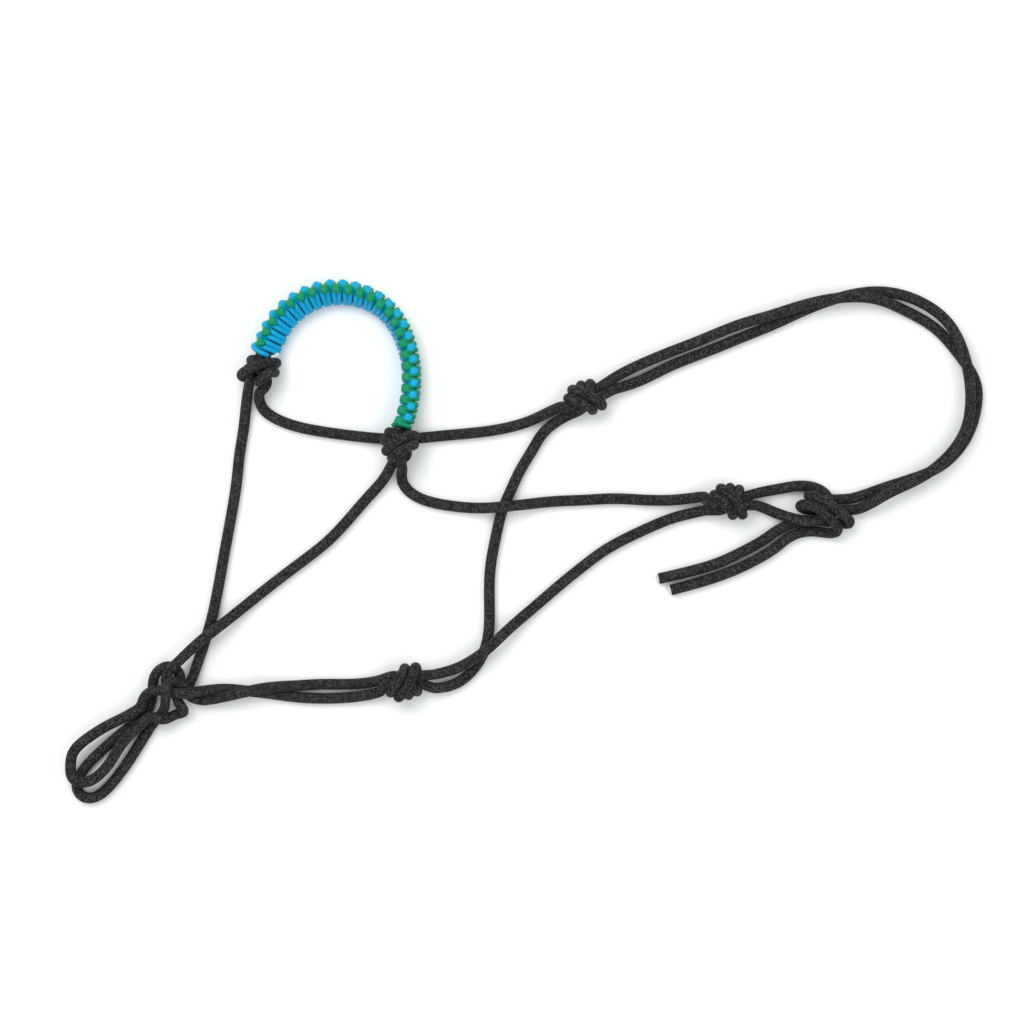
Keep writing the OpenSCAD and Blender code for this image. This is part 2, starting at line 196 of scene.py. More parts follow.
def resample(points, count):
    far = lengths(points)
    want = np.linspace(0.0, far[-1], count)
    return np.stack([np.interp(want, far, points[:, k]) for k in range(3)], axis=1)


def spline(points, step):
    """A smooth curve through the points, as points the given step apart."""
    p = np.asarray(points, float)
    knots = np.concatenate([[0.0], np.cumsum(np.linalg.norm(np.diff(p, axis=0), axis=1) ** 0.75)])
    h = np.diff(knots)
    n = len(p)
    a = np.eye(n)
    b = np.zeros((n, p.shape[1]))
    for i in range(1, n - 1):
        a[i, i - 1:i + 2] = h[i - 1], 2 * (h[i - 1] + h[i]), h[i]
        b[i] = 6 * ((p[i + 1] - p[i]) / h[i] - (p[i] - p[i - 1]) / h[i - 1])
    m = np.linalg.solve(a, b)
    t = np.linspace(0, knots[-1], 40 * n)
    i = np.clip(np.searchsorted(knots, t, side="right") - 1, 0, n - 2)
    k = h[i][:, None]
    u = (t - knots[i])[:, None]
    v = k - u
    q = (m[i] * v ** 3 + m[i + 1] * u ** 3) / (6 * k)
    q += (p[i] / k - m[i] * k / 6) * v + (p[i + 1] / k - m[i + 1] * k / 6) * u
    return resample(q, max(int(round(lengths(q)[-1] / step)) + 1, 4))


def settle(strands, held, rounds, pull, floor):
    """Strands draw tight and push each other apart. held is how many points stay put at each end."""
    start = np.concatenate([[0], np.cumsum([len(s) for s in strands])])
    spans = list(zip(start[:-1], start[1:]))
    x = np.concatenate(strands)
    owner = np.repeat(np.arange(len(strands)), np.diff(start))
    order = np.concatenate([np.arange(b - a) for a, b in spans])
    free = np.ones(len(x), bool)
    for (a, b), (first, last) in zip(spans, held):
        free[a:a + first] = False
        free[b - last:b] = False
    share = free[:, None] / np.maximum(free[:, None].astype(float) + free[None, :], 1.0)
    along = np.abs(order[:, None] - order[None, :])
    for r in range(rounds):
        drawn = np.zeros_like(x)
        for a, b in spans:
            drawn[a + 1:b - 1] = (x[a:b - 2] + x[a + 2:b]) / 2 - x[a + 1:b - 1]
        x[free] += (pull if r < 0.75 * rounds else 0.4 * pull) * drawn[free]
        if r % 5 == 4:
            for (a, b), (first, last) in zip(spans, held):
                x[a + first - 1:b - last + 1] = resample(x[a + first - 1:b - last + 1], b - a - first - last + 2)
        step = np.array([lengths(x[a:b])[-1] / (b - a - 1) for a, b in spans])
        near = (owner[:, None] == owner[None, :]) & (along * step[owner][:, None] < 1.6 * CONTACT)
        for _ in range(6):
            away = x[:, None] - x[None]
            apart = np.linalg.norm(away, axis=2) + 1e-9
            over = np.where(near, 0.0, np.clip(CONTACT - apart, 0, None))
            if over.max() < 0.02:
                break
            hits = np.clip((over > 0).sum(1), 1, 3)[:, None]
            push = (away * (over * share / apart)[..., None]).sum(1) / hits
            x[free] += push[free]
            x[free, 2] = np.maximum(x[free, 2], floor)
    return [x[a:b].copy() for a, b in spans]


def placed(points, centre, direction, mirrored):
    """Knot points turned so that +x is the direction and put at the centre."""
    ahead = unit(np.array([direction[0], direction[1], 0.0]))
    side = np.array([-ahead[1], ahead[0], 0.0]) * mirrored
    return np.array(points, float) @ np.stack([ahead, side, [0, 0, 1.0]]) + np.array(centre, float)


# Corners of a quarter of the noseband's section, from its middle, and how far its right end climbs
BAND_CORNERS = [(11.5, 2.92), (10.0, 5.84), (7.0, 7.3)]
BAND_END_LIFT = 5.0


def band_half_height(roll):
    """Half of the noseband's height once its section has rolled, so its lower edge rests at 0."""
    return np.max([across * np.sin(roll) + front * np.cos(roll) for across, front in BAND_CORNERS], axis=0)


def band_lines():
    """Points along the noseband, with its section's across and front directions."""
    q = spline([(x, y, roll) for x, y, roll in BAND], 1.0)
    xy = np.column_stack([q[:, :2], np.zeros(len(q))])
    xy = np.concatenate([xy[:1] - 4 * (xy[1:2] - xy[:1]), xy[1:-1], xy[-1:] + 4 * (xy[-1:] - xy[-2:-1])])
    count = int(round(lengths(xy)[-1] / 0.5)) + 1
    far = np.linspace(0, 1, count)
    old = lengths(xy) / lengths(xy)[-1]
    roll = np.radians(np.interp(far, old, q[:, 2]))
    xy = resample(xy, count)
    tip = np.clip((far - 0.86) / 0.14, 0, 1)
    height = band_half_height(roll) + BAND_END_LIFT * tip ** 2
    middle = xy + np.outer(height, [0, 0, 1])
    ahead = unit(np.gradient(xy, axis=0))
    outward = np.column_stack([-ahead[:, 1], ahead[:, 0], np.zeros(count)])
    up = np.array([0, 0, 1.0])
    across = np.cos(roll)[:, None] * outward + np.sin(roll)[:, None] * up
    front = np.cos(roll)[:, None] * up - np.sin(roll)[:, None] * outward
    return middle, across, front


BAND_MIDDLE, BAND_ACROSS, BAND_FRONT = band_lines()


def run_lines():
    """The middle line of every run of rope, as points STEP apart."""
    lines = {name: spline(route, STEP) for name, route in ROUTES.items()}
    lines["tie_loop"] = spline(TIE_LOOP, STEP)
    for name, offset in (("noseband_core_upper", ROPE_R), ("noseband_core_lower", -ROPE_R)):
        line = BAND_MIDDLE + offset * BAND_ACROSS
        lines[name] = resample(line, int(lengths(line)[-1] / STEP) + 1)
    return lines


def clear_of(line, end, centre, radius):
    """The run, cut back at one end until it is clear of a knot."""
    while np.linalg.norm(line[-1 if end else 0] - np.array(centre)) < radius and len(line) > 12:
        line = line[:-1] if end else line[1:]
    return line


def held_points(line, end, leaving):
    """The run's last points beside a knot, going into the knot or leaving it."""
    points = line[-5:] if end else line[:5][::-1]
    return points[::-1] if leaving else points


def knot_strands(lines, pairs, rounds, pull, floor=4.0):
    """Settled strands of a knot, each between the ends of two runs."""
    strands = []
    for (into, a_end, out, b_end), middle in pairs:
        ends = held_points(lines[into], a_end, False), held_points(lines[out], b_end, True)
        line = spline(np.concatenate([ends[0][[0, 2, 4]], middle, ends[1][[0, 2, 4]]]), STEP)
        inner = line[4:-4]
        strands.append(np.concatenate([ends[0], inner[1:-1], ends[1]]))
    settled = settle(strands, [(5, 5)] * len(strands), rounds, pull, floor)
    return {pair: line for (pair, _), line in zip(pairs, settled)}


def twin_knot(lines, knot):
    centre, direction, mirrored, a_in, a_out, b_in, b_out = TWIN_KNOTS[knot]
    for name, end in (a_in, a_out, b_in, b_out):
        lines[name] = clear_of(lines[name], end, centre, 16.0)
    pairs = [
        (a_in + a_out, placed(TWIN_A, centre, direction, mirrored)),
        (b_in + b_out, placed(TWIN_B, centre, direction, mirrored)),
    ]
    floor = centre[2] - 12.5 if centre[2] > 20 else 4.0
    return knot_strands(lines, pairs, 260, 0.5, floor)


def all_strands(lines):
    """Every knot's strands, keyed by the run ends that each joins."""
    found = {}
    for knot in TWIN_KNOTS:
        for pair, line in twin_knot(lines, knot).items():
            found[pair] = (knot, line)
    for name, end in (("chin_strand_left", 1), ("chin_strand_right", 1), ("jaw_strand_upper", 1),
                      ("jaw_strand_lower", 1), ("lead_loop_upper", 0), ("lead_loop_upper", 1)):
        lines[name] = clear_of(lines[name], end, FIADOR, 20.0)
    pairs = [(k, np.array(v, float)) for k, v in FIADOR_STRANDS.items()]
    for pair, line in knot_strands(lines, pairs, 60, 0.2).items():
        found[pair] = ("fiador_knot", line)
    for name in ("crown_strand_outer", "crown_strand_inner"):
        lines[name] = clear_of(lines[name], 1, TIE, 22.0)
    pairs = [(k, np.array(v, float)) for k, v in TIE_STRANDS.items()]
    loop = lines["tie_loop"]
    strands = []
    for (into, a_end, out, b_end), middle in pairs:
        ends = held_points(lines[into], a_end, False), held_points(lines[out], b_end, True)
        line = spline(np.concatenate([ends[0][[0, 2, 4]], middle, ends[1][[0, 2, 4]]]), STEP)
        strands.append(np.concatenate([ends[0], line[5:-5], ends[1]]))
    settled = settle(strands + [loop], [(5, 5)] * 2 + [(8, 8)], 80, 0.2, 4.0)
    lines["tie_loop"] = settled[2]
    for (pair, _), line in zip(pairs, settled):
        found[pair] = ("tie_knot", line)
    return found


def whole_rope():
    """The one rope from tail to tail: a list of (piece, points), each starting where the last one ends."""
    lines = run_lines()
    strands = all_strands(lines)
    joined = {}
    for (into, a_end, out, b_end), (knot, line) in strands.items():
        joined[(into, a_end)] = (knot, line, (out, b_end))
        joined[(out, b_end)] = (knot, line[::-1], (into, a_end))
    parts = []
    name, end = "tail_upper", 1
    while True:
        line = lines[name] if end == 0 else lines[name][::-1]
        parts.append((name, line))
        leave = (name, 1 - end)
        if leave not in joined:
            return parts
        knot, strand, (name, end) = joined[leave]
        parts.append((knot, strand[4:-4]))


# ---------------------------------------------------------------- meshes
def tube_frames(points):
    """Direction, side and up of each point of a line, turning as little as possible."""
    ahead = unit(np.gradient(points, axis=0))
    side = np.empty_like(points)
    first = np.cross([0, 0, 1.0], ahead[0])
    side[0] = first / max(np.linalg.norm(first), 1e-6)
    for i in range(1, len(points)):
        s = side[i - 1] - ahead[i] * (side[i - 1] @ ahead[i])
        side[i] = s / np.linalg.norm(s)
    return ahead, side, np.cross(ahead, side)


def tube_mesh(name, points, side, up, radius, sides, proud, first_ring=0, turn=0.0):
    """A tube with braid cells on it: every other point of each ring stands proud."""
    count = len(points)
    around = np.arange(sides)
    angle = 2 * np.pi * around / sides + turn
    rings = np.arange(count) + first_ring
    lift = np.where((rings[:, None] + around[None, :]) % 2 == 0, proud, -proud)
    reach = (np.broadcast_to(radius, (count,))[:, None] + lift)[..., None]
    ways = np.cos(angle)[None, :, None] * side[:, None] + np.sin(angle)[None, :, None] * up[:, None]
    co = (points[:, None] + reach * ways).reshape(-1, 3) * MM
    i = np.repeat(np.arange(count - 1), sides)
    k = np.tile(around, count - 1)
    j = (k + 1) % sides
    quads = np.column_stack([i * sides + k, i * sides + j, (i + 1) * sides + j, (i + 1) * sides + k])
    u = np.column_stack([k, k + 1, k + 1, k]) / sides
    v = np.column_stack([i, i, i + 1, i + 1]) + first_ring
    return co, quads, np.stack([u, v / sides], axis=2).reshape(-1, 2)


def mesh_object(name, parts, material):
    """One object from several (points, quads, uv) lists."""
    co = np.concatenate([p[0] for p in parts])
    starts = np.cumsum([0] + [len(p[0]) for p in parts[:-1]])
    quads = np.concatenate([p[1] + s for p, s in zip(parts, starts)])
    mesh = bpy.data.meshes.new(name)
    mesh.vertices.add(len(co))
    mesh.vertices.foreach_set("co", co.astype(np.float32).ravel())
    mesh.loops.add(quads.size)
    mesh.loops.foreach_set("vertex_index", quads.astype(np.int32).ravel())
    mesh.polygons.add(len(quads))
    mesh.polygons.foreach_set("loop_start", np.arange(0, quads.size, 4, dtype=np.int32))
    mesh.polygons.foreach_set("loop_total", np.full(len(quads), 4, dtype=np.int32))
    mesh.polygons.foreach_set("use_smooth", np.ones(len(quads), bool))
    layer = mesh.uv_layers.new(name="UVMap")
    layer.data.foreach_set("uv", np.concatenate([p[2] for p in parts]).astype(np.float32).ravel())
    mesh.update()
    mesh.validate()
    obj = bpy.data.objects.new(name, mesh)
    bpy.context.scene.collection.objects.link(obj)
    mesh.materials.append(material)
    return obj


def cap_mesh(at, ahead, side, up, radius, sides, domed):
    """A closed round end at a point, domed outwards along ahead."""
    rows = 4
    co = []
    for r in range(rows + 1):
        part = r / rows
        reach = radius * (1 - part)
        out = domed * (1 - (1 - part) ** 2)
        angle = 2 * np.pi * np.arange(sides) / sides
        co.append(at + reach * (np.cos(angle)[:, None] * side + np.sin(angle)[:, None] * up) + out * ahead)
    co = np.concatenate(co) * MM
    i = np.repeat(np.arange(rows), sides)
    k = np.tile(np.arange(sides), rows)
    j = (k + 1) % sides
    quads = np.column_stack([i * sides + k, i * sides + j, (i + 1) * sides + j, (i + 1) * sides + k])
    uv = np.stack([np.column_stack([k, k + 1, k + 1, k]) / sides,
                   np.column_stack([i, i, i + 1, i + 1]) / rows], axis=2)
    if np.cross(side, up) @ ahead < 0:
        quads = quads[:, ::-1]
        uv = uv[:, ::-1]
    return co, quads, uv.reshape(-1, 2)


# ---------------------------------------------------------------- materials
def new_material(name):
    material = bpy.data.materials.new(name)
    material.use_nodes = True
    nodes = material.node_tree.nodes
    nodes.clear()
    shader = nodes.new("ShaderNodeBsdfPrincipled")
    output = nodes.new("ShaderNodeOutputMaterial")
    material.node_tree.links.new(shader.outputs["BSDF"], output.inputs["Surface"])
    return material, shader


class Nodes:
    """Short ways to add shader nodes to one material."""

    def __init__(self, material):
        self.tree = material.node_tree

    def add(self, kind, **inputs):
        node = self.tree.nodes.new(kind)
        for key, value in inputs.items():
            self.put(node.inputs[key.replace("_", " ")], value)
        return node

    def put(self, socket, value):
        if isinstance(value, bpy.types.NodeSocket):
            self.tree.links.new(value, socket)
        else:
            socket.default_value = value

    def math(self, operation, a, b=0.0, c=0.0):
        node = self.tree.nodes.new("ShaderNodeMath")
        node.operation = operation
        for socket, value in zip(node.inputs, (a, b, c)):
            self.put(socket, value)
        return node.outputs[0]

    def ramp(self, factor, *stops):
        node = self.tree.nodes.new("ShaderNodeValToRGB")
        self.put(node.inputs[0], factor)
        elements = node.color_ramp.elements
        elements[0].position, elements[0].color = stops[0]
        elements[1].position, elements[1].color = stops[-1]
        for position, colour in stops[1:-1]:
            elements.new(position).color = colour
        return node.outputs[0]

    def mix(self, factor, a, b, blend="MIX"):
        node = self.tree.nodes.new("ShaderNodeMix")
        node.data_type = "RGBA"
        node.blend_type = blend
        self.put(node.inputs[0], factor)
        self.put(node.inputs[6], a)
        self.put(node.inputs[7], b)
        return node.outputs[2]


def braid_pattern(n, cells_round):
    """0 to 1: high on each braid cell, low in the gaps. Also the cell's own number and the raw UV."""
    uv = n.tree.nodes.new("ShaderNodeUVMap")
    split = n.add("ShaderNodeSeparateXYZ", Vector=uv.outputs[0])
    u = n.math("MULTIPLY", split.outputs[0], 2 * cells_round)
    v = n.math("MULTIPLY", split.outputs[1], 2 * cells_round)
    wave_u = n.math("COSINE", n.math("MULTIPLY", u, math.pi))
    wave_v = n.math("COSINE", n.math("MULTIPLY", v, math.pi))
    cell = n.math("MULTIPLY_ADD", n.math("MULTIPLY", wave_u, wave_v), 0.5, 0.5)
    lean_a = n.math("FLOOR", n.math("MULTIPLY", n.math("ADD", n.math("ADD", u, v), 1.0), 0.5))
    lean_b = n.math("FLOOR", n.math("MULTIPLY", n.math("ADD", n.math("SUBTRACT", u, v), 1.0), 0.5))
    place = n.add("ShaderNodeCombineXYZ", X=lean_a, Y=lean_b)
    number = n.add("ShaderNodeTexWhiteNoise", Vector=place.outputs[0])
    return cell, number.outputs[0], u, v, split


def fibres(n, u, v):
    """Fine threads that lie along the braid."""
    place = n.add("ShaderNodeCombineXYZ", X=n.math("MULTIPLY", u, 3.0), Y=n.math("MULTIPLY", v, 0.8))
    return n.add("ShaderNodeTexNoise", Vector=place.outputs[0], Scale=1.5, Detail=4.0, Roughness=0.6).outputs[0]


def rope_material():
    material, shader = new_material("halter_rope")
    n = Nodes(material)
    cell, number, u, v, _ = braid_pattern(n, 16)
    thread = fibres(n, u, v)
    # Painted shade: the gaps between braid cells are painted near-black and the cell crowns lighter; fibre noise also
    # varies the tone
    crown = n.math("POWER", cell, 1.6)
    tone = n.math("MULTIPLY", crown, n.math("MULTIPLY_ADD", thread, 1.1, 0.45))
    colour = n.ramp(tone, (0.0, (0.0015, 0.0015, 0.0018, 1)), (0.35, (0.005, 0.0048, 0.0056, 1)),
                    (1.0, (0.032, 0.031, 0.035, 1)))
    # Painted highlight: random braid cells get a light grey glint painted on their crowns
    painted_glint = n.ramp(number, (0.35, (0, 0, 0, 1)), (1.0, (1, 1, 1, 1)))
    lit = n.mix(n.math("MULTIPLY", painted_glint, crown), colour, (0.15, 0.147, 0.158, 1))
    place = n.add("ShaderNodeTexCoord")
    wear = n.add("ShaderNodeTexNoise", Vector=place.outputs["Object"], Scale=28.0, Detail=3.0)
    dust = n.math("MULTIPLY", n.math("MULTIPLY", wear.outputs[0], crown), 0.15)
    worn = n.mix(dust, lit, (0.075, 0.075, 0.082, 1))
    n.put(shader.inputs["Base Color"], worn)
    n.put(shader.inputs["Roughness"], n.math("MULTIPLY_ADD", thread, 0.25, 0.42))
    bump = n.add("ShaderNodeBump", Strength=0.8, Distance=0.0004, Height=tone)
    n.put(shader.inputs["Normal"], bump.outputs[0])
    shader.inputs["Sheen Weight"].default_value = 0.01
    shader.inputs["Specular IOR Level"].default_value = 0.12
    shader.inputs["Sheen Roughness"].default_value = 0.4
    return material


def core_material():
    material, shader = new_material("rope_core")
    n = Nodes(material)
    place = n.add("ShaderNodeTexCoord")
    wide = n.add("ShaderNodeTexNoise", Vector=place.outputs["Object"], Scale=900.0, Detail=4.0)
    colour = n.ramp(wide.outputs[0], (0.3, (0.45, 0.44, 0.42, 1)), (0.7, (0.86, 0.86, 0.84, 1)))
    n.put(shader.inputs["Base Color"], colour)
    bump = n.add("ShaderNodeBump", Strength=0.9, Distance=0.0006, Height=wide.outputs[0])
    n.put(shader.inputs["Normal"], bump.outputs[0])
    shader.inputs["Roughness"].default_value = 0.85
    shader.inputs["Sheen Weight"].default_value = 0.3
    return material


def thin_cord_material(name, gap_shade, mid, light):
    material, shader = new_material(name)
    n = Nodes(material)
    cell, number, u, v, _ = braid_pattern(n, 6)
    thread = fibres(n, u, v)
    tone = n.math("MULTIPLY", cell, n.math("MULTIPLY_ADD", thread, 0.6, 0.6))
    # Painted shade: the gaps between braid cells take the darkest colour and the cell crowns the lightest
    colour = n.ramp(tone, (0.0, gap_shade), (0.5, mid), (1.0, light))
    n.put(shader.inputs["Base Color"], colour)
    n.put(shader.inputs["Roughness"], n.math("MULTIPLY_ADD", number, 0.15, 0.35))
    bump = n.add("ShaderNodeBump", Strength=0.6, Distance=0.0002, Height=tone)
    n.put(shader.inputs["Normal"], bump.outputs[0])
    shader.inputs["Specular IOR Level"].default_value = 0.2
    return material


def melted_material():
    material, shader = new_material("melted_end")
    n = Nodes(material)
    place = n.add("ShaderNodeTexCoord")
    lumps = n.add("ShaderNodeTexNoise", Vector=place.outputs["Object"], Scale=700.0, Detail=3.0)
    colour = n.ramp(lumps.outputs[0], (0.3, (0.35, 0.5, 0.5, 1)), (0.7, (0.75, 0.8, 0.8, 1)))
    n.put(shader.inputs["Base Color"], colour)
    bump = n.add("ShaderNodeBump", Strength=0.6, Distance=0.0004, Height=lumps.outputs[0])
    n.put(shader.inputs["Normal"], bump.outputs[0])
    shader.inputs["Roughness"].default_value = 0.4
    return material


ROPE = rope_material()
CORE = core_material()
# Each cord's colours: painted shade for the gaps between cells, its middle tone, and its lighter tone for the crowns
BLUE = thin_cord_material("blue_cord", (0.0, 0.16, 0.28, 1), (0.0, 0.37, 0.66, 1), (0.0, 0.52, 0.88, 1))
GREEN = thin_cord_material("green_cord", (0.0, 0.09, 0.04, 1), (0.0, 0.26, 0.11, 1), (0.0, 0.40, 0.19, 1))
MELTED = melted_material()


# ---------------------------------------------------------------- the rope
def build_rope():
    """Builds every run and knot from one continuous line, so that the joins don't show."""
    parts = whole_rope()
    names, points = [], []
    for name, line in parts:
        fresh = line if not points else line[1:]
        names += [name + "#" + str(len(set(names)))] * len(fresh)
        points.append(fresh)
    line = np.concatenate(points)
    for _ in range(3):
        line[1:-1] = 0.25 * line[:-2] + 0.5 * line[1:-1] + 0.25 * line[2:]
    far = lengths(line)
    fine = spline_through(line, far, RING)
    where = np.interp(np.arange(len(fine)) * far[-1] / (len(fine) - 1), far, np.arange(len(line)))
    label = [names[min(int(round(w)), len(names) - 1)] for w in where]
    runs = set(ROUTES) | {"tie_loop", "noseband_core_upper", "noseband_core_lower"}
    slack = np.array([1.0 if n.split("#")[0] in runs else 0.0 for n in label])
    width = 15
    slack = np.convolve(np.pad(slack, width, mode="edge"), np.ones(2 * width + 1) / (2 * width + 1), "valid")
    radius = KNOT_R + (ROPE_R - KNOT_R) * slack
    ahead, side, up = tube_frames(fine)
    pieces = {}
    start = 0
    for i in range(1, len(label) + 1):
        if i == len(label) or label[i] != label[start]:
            stop = min(i + 1, len(label))
            span = slice(start, stop)
            name = label[start].split("#")[0]
            mesh = tube_mesh(name, fine[span], side[span], up[span], radius[span], SIDES, BRAID, start)
            pieces.setdefault(name, []).append((mesh, fine[span]))
            start = i
    ends = {
        "tail_upper": (fine[0], -ahead[0], side[0], up[0]),
        "tail_lower": (fine[-1], ahead[-1], side[-1], up[-1]),
    }
    return pieces, ends


def spline_through(line, far, step):
    """The settled points are close together, so a local cubic through them is smooth enough."""
    count = int(round(far[-1] / step)) + 1
    want = np.linspace(0, far[-1], count)
    i = np.clip(np.searchsorted(far, want, side="right") - 1, 0, len(line) - 2)
    slope = np.gradient(line, far, axis=0)
    h = (far[i + 1] - far[i])[:, None]
    t = ((want - far[i])[:, None]) / h
    return ((2 * t ** 3 - 3 * t ** 2 + 1) * line[i] + (t ** 3 - 2 * t ** 2 + t) * h * slope[i]
            + (3 * t ** 2 - 2 * t ** 3) * line[i + 1] + (t ** 3 - t ** 2) * h * slope[i + 1])


def along_axis(point, direction, distance):
    return tuple((np.array(point) + np.array(direction) * distance) * MM)


CROWN_WAY = (0.449, 0.8935, 0)
NOSE_WAY = (0.4626, 0.8866, 0)
LEAD_WAY = (-0.7071, -0.7071, 0)
TAIL_WAY = (-0.68, -0.733, 0)
BENDS = {
    # piece: child body, start and end of the bend
    "crown_strand_outer": ("crown", along_axis((58, 121, 10), CROWN_WAY, 4), along_axis((58, 121, 10), CROWN_WAY, 34)),
    "crown_strand_inner": ("crown", along_axis((58, 121, 10), CROWN_WAY, 4), along_axis((58, 121, 10), CROWN_WAY, 34)),
    "chin_strand_left": ("noseband", along_axis((-206, 114.5, 10), NOSE_WAY, -20), along_axis((-206, 114.5, 10), NOSE_WAY, -3)),
    "chin_strand_right": ("noseband", along_axis((-206, 114.5, 10), NOSE_WAY, -20), along_axis((-206, 114.5, 10), NOSE_WAY, -3)),
    "cheek_strand_left": ("noseband", (-0.190, 0.093, 0.006), (-0.198, 0.108, 0.006)),
    "cheek_strand_right": ("noseband", (-0.087, 0.038, 0.006), (-0.091, 0.053, 0.006)),
    "lead_loop_upper": ("lead_loops", along_axis((-285.5, -123.5, 12.5), LEAD_WAY, 6), along_axis((-285.5, -123.5, 12.5), LEAD_WAY, 28)),
    "lead_loop_lower": ("lead_loops", along_axis((-285.5, -123.5, 12.5), LEAD_WAY, 6), along_axis((-285.5, -123.5, 12.5), LEAD_WAY, 28)),
    "tail_upper": ("tail_upper", along_axis((189, 8, 4), TAIL_WAY, 1), along_axis((189, 8, 4), TAIL_WAY, 20)),
    "tail_lower": ("tail_lower", along_axis((189, 8, 4), TAIL_WAY, 1), along_axis((189, 8, 4), TAIL_WAY, 20)),
}
ON_NOSEBAND = {"nose_knot_left", "nose_knot_right", "noseband_core_upper", "noseband_core_lower"}


def place_rope():
    pieces, ends = build_rope()
    for name, parts in pieces.items():
        meshes = [mesh for mesh, _ in parts]
        if name in ends:
            meshes.append(cap_mesh(*ends[name], ROPE_R, SIDES, 0.3))
        obj = mesh_object("rope_" + name, meshes, ROPE)
        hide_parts(name)
        if name in BENDS:
            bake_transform(obj)
        else:
            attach(obj, "noseband" if name in ON_NOSEBAND else "halter")
        if name in BENDS or name in ROUTES or name == "tie_loop":
            path = parts[0][1][::4] * MM
            if name == "tail_upper":
                path = path[::-1]
    for name, (at, ahead, side, up) in ends.items():
        core = frayed_core(name, at, ahead, side, up)
        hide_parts(name + "_core")
        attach(core, name)


def frayed_core(name, at, ahead, side, up):
    """The white core standing a little proud of the cut sheath, its radius wobbling a little along it."""
    parts = []
    sides = 20
    line = np.array([at + ahead * s for s in np.linspace(-3.0, 1.6, 8)])
    wobble = np.array([2.9, 2.9, 2.95, 3.0, 3.1, 3.15, 3.0, 2.6])
    spread = np.repeat(side[None], len(line), axis=0)
    rise = np.repeat(up[None], len(line), axis=0)
    parts.append(tube_mesh(name, line, spread, rise, wobble, sides, 0.18))
    parts.append(cap_mesh(line[-1], ahead, side, up, 2.6, sides, 0.8))
    return mesh_object("core_" + name, parts, CORE)


# ---------------------------------------------------------------- the noseband's thin cords
KNOTS = 24              # full knots along the noseband
FACE = 5.4              # how far a thin cord's middle stands off the band's middle
THIN_R = 2.0
SPREAD = 0.5            # how much wider a thin cord gets for each millimetre it stands over the layer
EDGE = ROPE_R + FACE * math.pi / 2      # way round the section from the middle of a face to the edge
ROUND = 2 * EDGE                        # and on to the middle of the other face

# One full knot of each cord: how far through the knot, way round the section, height over the layer.
# Way round: 0 is the middle of the front, positive is towards the band's outer edge.
BLUE_KNOT = [
    (-0.035, 0, 0), (-0.02, 4, -0.4), (0.0, 7.5, -1.3), (0.06, 11, -0.9), (0.13, 14.2, 0.2),
    (0.25, 15.8, 0.6), (0.37, 14.2, 0.2), (0.44, 11, -0.9), (0.5, 7.5, -1.3), (0.52, 4, -0.4),
    (0.535, 0, 0), (0.55, -5, 0.1), (0.58, -10, 0.1), (0.64, -14, 0), (0.75, -15.5, 0),
    (0.86, -14, 0), (0.92, -10, 0.1), (0.95, -5, 0.1)]
GREEN_KNOT = [
    (0.0, -25, 0), (0.04, -20, 0), (0.1, -16, -0.6), (0.17, -13, -0.6), (0.25, -11.5, -0.3),
    (0.33, -13, -0.6), (0.4, -16, -0.6), (0.46, -20, 0), (0.48, -25, 0), (0.48, -30, -0.4),
    (0.5, -34, -1.4), (0.55, -37, -0.5), (0.6, -39.8, 1.0), (0.75, -41.7, 1.6), (0.9, -39.8, 1.0),
    (0.95, -37, -0.5), (1.0, -34, -1.4), (1.02, -30, -0.4)]


def round_section(way):
    """Place round the band's section, and the outward direction there."""
    way = (way + ROUND) % (2 * ROUND) - ROUND
    side = np.sign(way)
    way = np.abs(way)
    angle = np.clip((way - ROPE_R) / FACE, 0, np.pi)
    flat = np.minimum(way, ROPE_R) - np.clip(way - ROPE_R - np.pi * FACE, 0, None)
    out = np.stack([side * np.sin(angle), np.cos(angle)], axis=1)
    return np.stack([side * flat, np.zeros_like(flat)], axis=1) + FACE * out, out


def thin_cord(knot):
    """One thin cord's line and radius: its one knot repeated along the noseband."""
    rows = [(k + u, way, h) for k in range(KNOTS) for u, way, h in knot]
    q = spline([(9.0 * u, way, h) for u, way, h in rows], 0.4)
    place, out = round_section(q[:, 1])
    place = place + q[:, 2:] * out
    total = lengths(BAND_MIDDLE)[-1]
    along = 1.0 + (q[:, 0] / 9.0 + 0.04) / KNOTS * (total - 2.0)
    far = lengths(BAND_MIDDLE)
    middle, across, front = (np.stack([np.interp(along, far, a[:, k]) for k in range(3)], axis=1)
                             for a in (BAND_MIDDLE, BAND_ACROSS, BAND_FRONT))
    spread = THIN_R + SPREAD * np.clip(q[:, 2], 0, None)
    return middle + place[:, :1] * across + place[:, 1:] * front, spread


def place_thin_cord(name, knot, material):
    line, spread = thin_cord(knot)
    far = lengths(line)
    count = int(far[-1] / 0.8) + 1
    spread = np.interp(np.linspace(0, far[-1], count), far, spread)
    line = resample(line, count)
    line[1:-1] = 0.25 * line[:-2] + 0.5 * line[1:-1] + 0.25 * line[2:]
    ahead, side, up = tube_frames(line)
    mesh = tube_mesh(name, line, side, up, spread, 12, 0.06)
    caps = [cap_mesh(line[0], -ahead[0], side[0], up[0], THIN_R, 12, 0.8),
            cap_mesh(line[-1], ahead[-1], side[-1], up[-1], THIN_R, 12, 0.8)]
    obj = mesh_object(name, [mesh] + caps, material)
    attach(obj, "noseband")
    return obj


def cord_end(name, points, radius, material, node):
    line = spline(points, 0.5)
    ahead, side, up = tube_frames(line)
    far = lengths(line) / lengths(line)[-1]
    swell = radius * (1 + 0.12 * np.sin(7 * far))
    mesh = tube_mesh(name, line, side, up, swell, 14, 0.04)
    caps = [cap_mesh(line[0], -ahead[0], side[0], up[0], swell[0], 14, 0.8),
            cap_mesh(line[-1], ahead[-1], side[-1], up[-1], swell[-1], 14, 0.9)]
    obj = mesh_object(name, [mesh] + caps, material)
    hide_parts(node)
    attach(obj, "noseband")


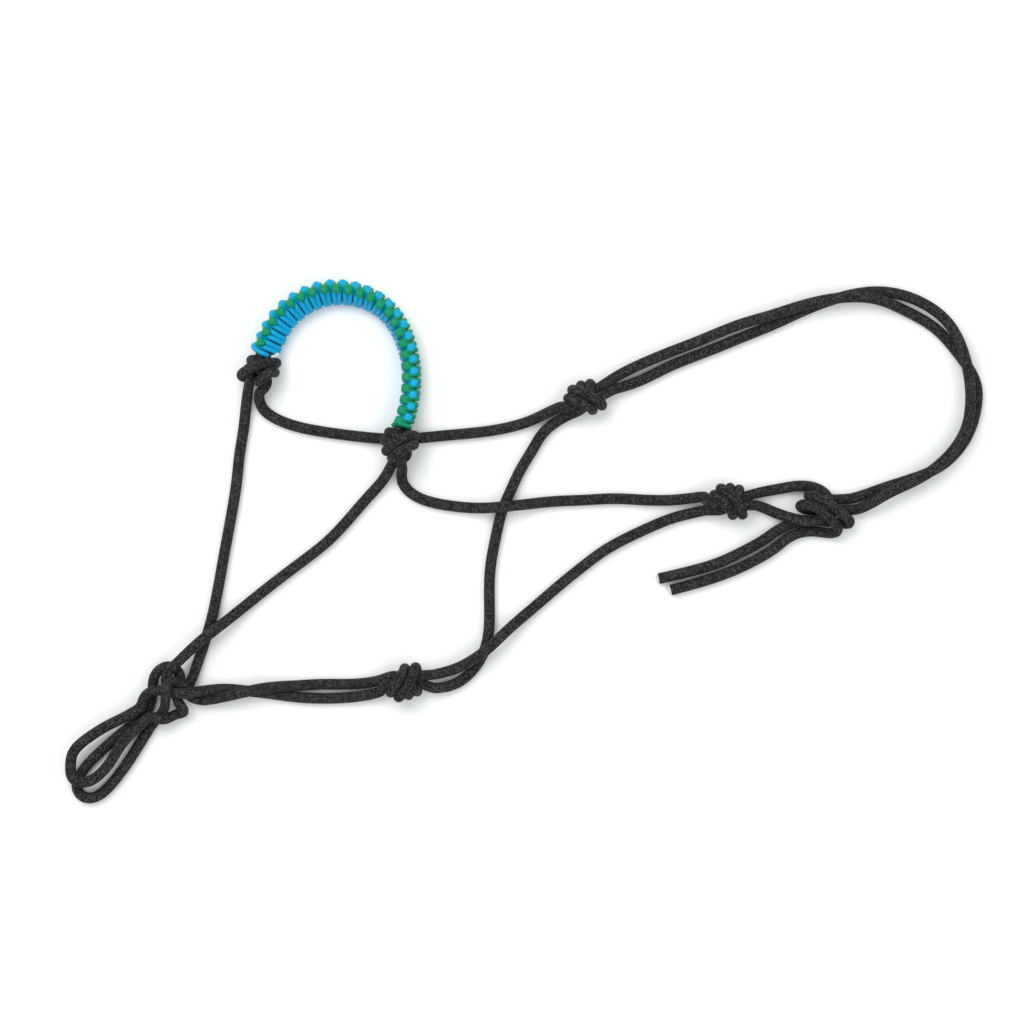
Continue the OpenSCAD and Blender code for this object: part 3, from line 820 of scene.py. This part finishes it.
def place_noseband():
    blue = place_thin_cord("cord_blue", BLUE_KNOT, BLUE)
    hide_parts("noseband_wrap_blue")
    green = place_thin_cord("cord_green", GREEN_KNOT, GREEN)
    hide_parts("noseband_wrap_green")
    cord_end("end_left", [(-183.5, 139.5, 12), (-185.5, 138, 14), (-188, 137, 15.5)], 1.9,
             MELTED, "wrap_end_left")
    cord_end("end_right", [(-93.5, 91, 18), (-95.5, 88.5, 19.5), (-97.5, 86, 20)], 1.9,
             GREEN, "wrap_end_right")


# ---------------------------------------------------------------- the room
def floor_material():
    material, shader = new_material("floor")
    shader.inputs["Base Color"].default_value = (0.93, 0.935, 0.935, 1)
    shader.inputs["Roughness"].default_value = 0.9
    return material


def place_floor():
    mesh = bpy.data.meshes.new("floor")
    reach = 4.0
    mesh.from_pydata([(-reach, -reach, 0), (reach, -reach, 0), (reach, reach, 0), (-reach, reach, 0)],
                     [], [(0, 1, 2, 3)])
    mesh.materials.append(floor_material())
    floor = bpy.data.objects.new("floor", mesh)
    bpy.context.scene.collection.objects.link(floor)
    floor.location.z = -0.0006


def area_light(name, place, size, power, aim):
    data = bpy.data.lights.new(name, "AREA")
    data.shape = "SQUARE"
    data.size = size
    data.energy = power
    light = bpy.data.objects.new(name, data)
    bpy.context.scene.collection.objects.link(light)
    light.location = place
    way = np.array(aim, float) - np.array(place, float)
    light.rotation_euler = (math.atan2(math.hypot(way[0], way[1]), -way[2]), 0, math.atan2(-way[0], way[1]))


def place_lights():
    area_light("key", (-0.7, 0.9, 1.8), 1.4, 25.0, (0, 0, 0))
    area_light("fill", (1.0, -0.6, 1.9), 1.6, 11.0, (0, 0, 0))
    world = bpy.data.worlds.new("world")
    world.use_nodes = True
    background = world.node_tree.nodes["Background"]
    background.inputs["Color"].default_value = (0.97, 1.0, 1.0, 1)
    background.inputs["Strength"].default_value = 0.74
    bpy.context.scene.world = world
    bpy.context.scene.view_settings.view_transform = "Standard"


def place_camera():
    """Straight above, as the halter is seen, far enough away for almost no perspective."""
    data = bpy.data.cameras.new("camera")
    data.lens = 120.0
    data.sensor_width = 36.0
    camera = bpy.data.objects.new("camera", data)
    bpy.context.scene.collection.objects.link(camera)
    camera.location = (-0.009, 0.022, 0.768 * data.lens / data.sensor_width)
    camera.rotation_euler = (0, 0, 0)
    bpy.context.scene.camera = camera


place_camera()
place_lights()
place_floor()
place_rope()
place_noseband()
